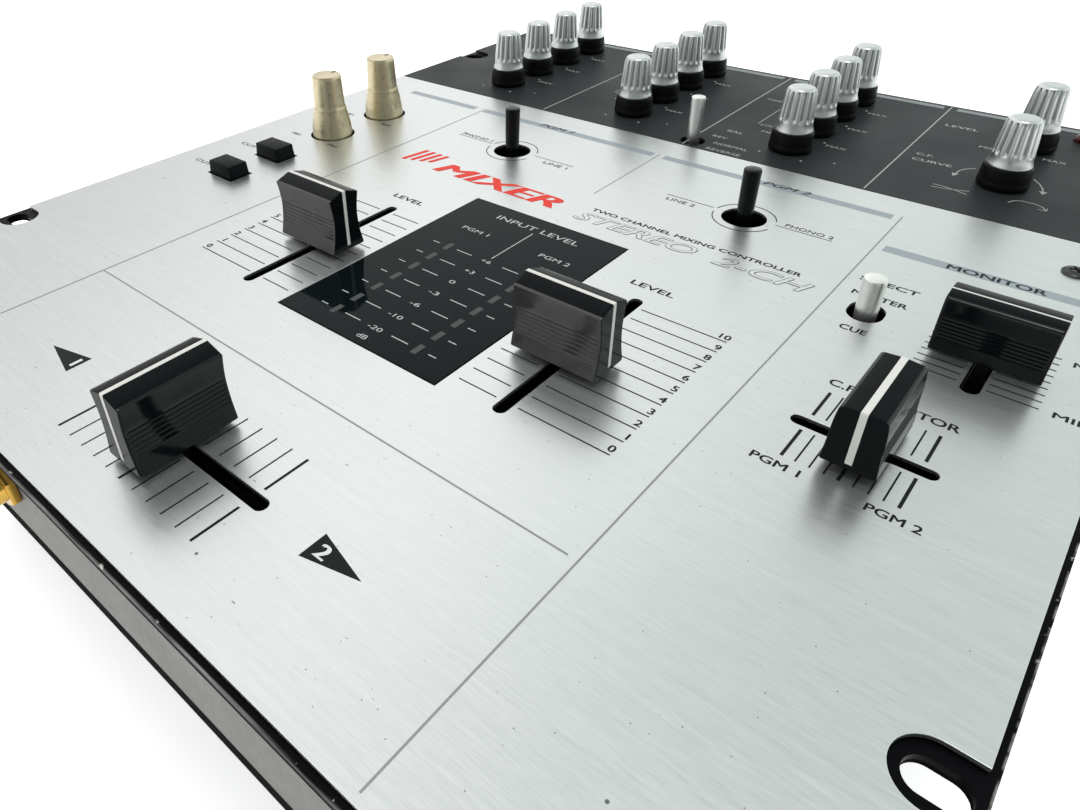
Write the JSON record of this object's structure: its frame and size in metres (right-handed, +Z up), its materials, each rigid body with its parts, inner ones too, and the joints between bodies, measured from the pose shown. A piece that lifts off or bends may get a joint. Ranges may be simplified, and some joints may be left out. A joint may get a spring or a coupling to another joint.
{
  "type": "dj mixer",
  "caption": "Tabletop DJ mixer with a brushed panel, level faders, a crossfader, tone knobs, toggles, a lamp meter window and a folded steel case on rubber feet.",
  "frame": {"origin": "under the middle of the top plate, on the surface that the feet stand on", "axes": "+X to the right, +Y to the rear away from the crossfader, +Z up out of the control panel"},
  "size_m": [0.254, 0.3006, 0.1053],
  "materials": {
    "black_steel": "black enamel, chipped along the front edge",
    "silver_sheet": "brushed from left to right, with black print",
    "charcoal_sheet": "satin charcoal with pale print",
    "meter_window": "smoked glossy window",
    "circuit_board": "green solder mask",
    "grey_paint": "satin grey paint on folded steel",
    "fader_case": "black steel case",
    "black_screw": "black oxide",
    "gold_jack": "gold plated",
    "black_plastic": "moulded black",
    "switch_metal": "plated steel",
    "champagne_knob": "champagne coloured, fluted",
    "button_rubber": "matt black",
    "fader_cap": "satin black with a white line",
    "black_lever": "fluted black tip",
    "bright_lever": "bright plated",
    "silver_knob": "silver grip over a black skirt",
    "foot_rubber": "matt black"
  },
  "bodies": {
    "case": {"base_plate": "black_steel", "silver_sheet": "silver_sheet", "black_sheet": "charcoal_sheet", "meter_window": "meter_window", "meter_board": "circuit_board", "chassis_tub": "grey_paint", "foot_front_left": "foot_rubber", "foot_front_right": "foot_rubber", "foot_rear_left": "foot_rubber", "foot_rear_right": "foot_rubber", "crossfader_body": "fader_case", "level_fader_1_body": "fader_case", "level_fader_2_body": "fader_case", "monitor_fader_body": "fader_case", "cue_fader_body": "fader_case", "input_toggle_1_switch": "black_plastic", "input_toggle_2_switch": "black_plastic", "select_toggle_switch": "black_plastic", "balance_toggle_switch": "black_plastic", "left_control_board": "circuit_board", "eq_board": "circuit_board", "panel_screw": "black_screw", "headphone_jack": "gold_jack", "rear_jack_board": "black_plastic", "power_inlet": "black_plastic", "ground_terminal": "switch_metal", "main_board": "circuit_board"},
    "crossfader_slider": {"crossfader_carriage": "black_plastic", "crossfader_cap": "fader_cap"},
    "level_fader_1_slider": {"level_fader_1_carriage": "black_plastic", "level_fader_1_cap": "fader_cap"},
    "level_fader_2_slider": {"level_fader_2_carriage": "black_plastic", "level_fader_2_cap": "fader_cap"},
    "monitor_fader_slider": {"monitor_fader_carriage": "black_plastic", "monitor_fader_cap": "fader_cap"},
    "cue_fader_slider": {"cue_fader_carriage": "black_plastic", "cue_fader_cap": "fader_cap"},
    "input_toggle_1_lever": {"input_toggle_1_lever": "black_lever"},
    "input_toggle_2_lever": {"input_toggle_2_lever": "black_lever"},
    "select_toggle_lever": {"select_toggle_lever": "bright_lever"},
    "balance_toggle_lever": {"balance_toggle_lever": "bright_lever"},
    "push_button_1": {"push_button_1": "button_rubber"},
    "push_button_2": {"push_button_2": "button_rubber"},
    "left_knob_front": {"left_knob_front": "champagne_knob"},
    "left_knob_rear": {"left_knob_rear": "champagne_knob"},
    "eq_knob_a1": {"eq_knob_a1": "silver_knob"},
    "eq_knob_a2": {"eq_knob_a2": "silver_knob"},
    "eq_knob_a3": {"eq_knob_a3": "silver_knob"},
    "eq_knob_a4": {"eq_knob_a4": "silver_knob"},
    "eq_knob_b1": {"eq_knob_b1": "silver_knob"},
    "eq_knob_b2": {"eq_knob_b2": "silver_knob"},
    "eq_knob_b3": {"eq_knob_b3": "silver_knob"},
    "eq_knob_b4": {"eq_knob_b4": "silver_knob"},
    "eq_knob_c1": {"eq_knob_c1": "silver_knob"},
    "eq_knob_c2": {"eq_knob_c2": "silver_knob"},
    "eq_knob_c3": {"eq_knob_c3": "silver_knob"},
    "eq_knob_c4": {"eq_knob_c4": "silver_knob"},
    "curve_knob": {"curve_knob": "silver_knob"},
    "master_level_knob": {"master_level_knob": "silver_knob"},
    "power_rocker": {"power_rocker": "black_plastic"}
  },
  "joints": [
    {"name": "crossfader_slide", "type": "slide", "parent": "case", "child": "crossfader_slider", "axis": [1, 0, 0], "range_m": [-0.0219, 0.0231]},
    {"name": "level_fader_1_slide", "type": "slide", "parent": "case", "child": "level_fader_1_slider", "axis": [0, 1, 0], "range_m": [-0.0218, 0.0232]},
    {"name": "level_fader_2_slide", "type": "slide", "parent": "case", "child": "level_fader_2_slider", "axis": [0, 1, 0], "range_m": [-0.0192, 0.0258]},
    {"name": "monitor_fader_slide", "type": "slide", "parent": "case", "child": "monitor_fader_slider", "axis": [0, 1, 0], "range_m": [-0.0093, 0.0107]},
    {"name": "cue_fader_slide", "type": "slide", "parent": "case", "child": "cue_fader_slider", "axis": [1, 0, 0], "range_m": [-0.0105, 0.0095]},
    {"name": "input_toggle_1_throw", "type": "hinge", "parent": "case", "child": "input_toggle_1_lever", "pos_m": [-0.04025, 0.0235, 0.076], "axis": [0, 1, 0], "range_deg": [-12, 12]},
    {"name": "input_toggle_2_throw", "type": "hinge", "parent": "case", "child": "input_toggle_2_lever", "pos_m": [0.03845, 0.0235, 0.076], "axis": [0, 1, 0], "range_deg": [-12, 12]},
    {"name": "select_toggle_throw", "type": "hinge", "parent": "case", "child": "select_toggle_lever", "pos_m": [0.0794, -0.0036, 0.076], "axis": [-1, 0, 0], "range_deg": [-9, 9]},
    {"name": "balance_toggle_throw", "type": "hinge", "parent": "case", "child": "balance_toggle_lever", "pos_m": [0.0009, 0.066, 0.076], "axis": [-1, 0, 0], "range_deg": [-10, 10]},
    {"name": "push_button_1_press", "type": "slide", "parent": "case", "child": "push_button_1", "axis": [0, 0, -1], "range_m": [0, 0.0025], "stiffness_N_per_m": 180, "springref_m": -0.003},
    {"name": "push_button_2_press", "type": "slide", "parent": "case", "child": "push_button_2", "axis": [0, 0, -1], "range_m": [0, 0.0025], "stiffness_N_per_m": 180, "springref_m": -0.003},
    {"name": "left_knob_front_turn", "type": "hinge", "parent": "case", "child": "left_knob_front", "pos_m": [-0.0989, -0.0015, 0.085], "axis": [0, 0, 1], "range_deg": [-150, 150]},
    {"name": "left_knob_rear_turn", "type": "hinge", "parent": "case", "child": "left_knob_rear", "pos_m": [-0.0989, 0.0234, 0.085], "axis": [0, 0, 1], "range_deg": [-150, 150]},
    {"name": "eq_knob_a1_turn", "type": "hinge", "parent": "case", "child": "eq_knob_a1", "pos_m": [-0.0844, 0.0775, 0.085], "axis": [0, 0, 1], "range_deg": [-150, 150]},
    {"name": "eq_knob_a2_turn", "type": "hinge", "parent": "case", "child": "eq_knob_a2", "pos_m": [-0.0844, 0.09635, 0.085], "axis": [0, 0, 1], "range_deg": [-150, 150]},
    {"name": "eq_knob_a3_turn", "type": "hinge", "parent": "case", "child": "eq_knob_a3", "pos_m": [-0.0844, 0.1152, 0.085], "axis": [0, 0, 1], "range_deg": [-150, 150]},
    {"name": "eq_knob_a4_turn", "type": "hinge", "parent": "case", "child": "eq_knob_a4", "pos_m": [-0.0844, 0.13405, 0.085], "axis": [0, 0, 1], "range_deg": [-150, 150]},
    {"name": "eq_knob_b1_turn", "type": "hinge", "parent": "case", "child": "eq_knob_b1", "pos_m": [-0.0283, 0.0775, 0.085], "axis": [0, 0, 1], "range_deg": [-150, 150]},
    {"name": "eq_knob_b2_turn", "type": "hinge", "parent": "case", "child": "eq_knob_b2", "pos_m": [-0.0283, 0.09635, 0.085], "axis": [0, 0, 1], "range_deg": [-150, 150]},
    {"name": "eq_knob_b3_turn", "type": "hinge", "parent": "case", "child": "eq_knob_b3", "pos_m": [-0.0283, 0.1152, 0.085], "axis": [0, 0, 1], "range_deg": [-150, 150]},
    {"name": "eq_knob_b4_turn", "type": "hinge", "parent": "case", "child": "eq_knob_b4", "pos_m": [-0.0283, 0.13405, 0.085], "axis": [0, 0, 1], "range_deg": [-150, 150]},
    {"name": "eq_knob_c1_turn", "type": "hinge", "parent": "case", "child": "eq_knob_c1", "pos_m": [0.0282, 0.0775, 0.085], "axis": [0, 0, 1], "range_deg": [-150, 150]},
    {"name": "eq_knob_c2_turn", "type": "hinge", "parent": "case", "child": "eq_knob_c2", "pos_m": [0.0282, 0.09635, 0.085], "axis": [0, 0, 1], "range_deg": [-150, 150]},
    {"name": "eq_knob_c3_turn", "type": "hinge", "parent": "case", "child": "eq_knob_c3", "pos_m": [0.0282, 0.1152, 0.085], "axis": [0, 0, 1], "range_deg": [-150, 150]},
    {"name": "eq_knob_c4_turn", "type": "hinge", "parent": "case", "child": "eq_knob_c4", "pos_m": [0.0282, 0.13405, 0.085], "axis": [0, 0, 1], "range_deg": [-150, 150]},
    {"name": "curve_knob_turn", "type": "hinge", "parent": "case", "child": "curve_knob", "pos_m": [0.0853, 0.0865, 0.085], "axis": [0, 0, 1], "range_deg": [-150, 150]},
    {"name": "master_level_knob_turn", "type": "hinge", "parent": "case", "child": "master_level_knob", "pos_m": [0.0853, 0.1216, 0.085], "axis": [0, 0, 1], "range_deg": [-150, 150]},
    {"name": "power_rocker_press", "type": "hinge", "parent": "case", "child": "power_rocker", "pos_m": [0.078, 0.142, 0.0565], "axis": [-1, 0, 0], "range_deg": [0, 16]}
  ]
}
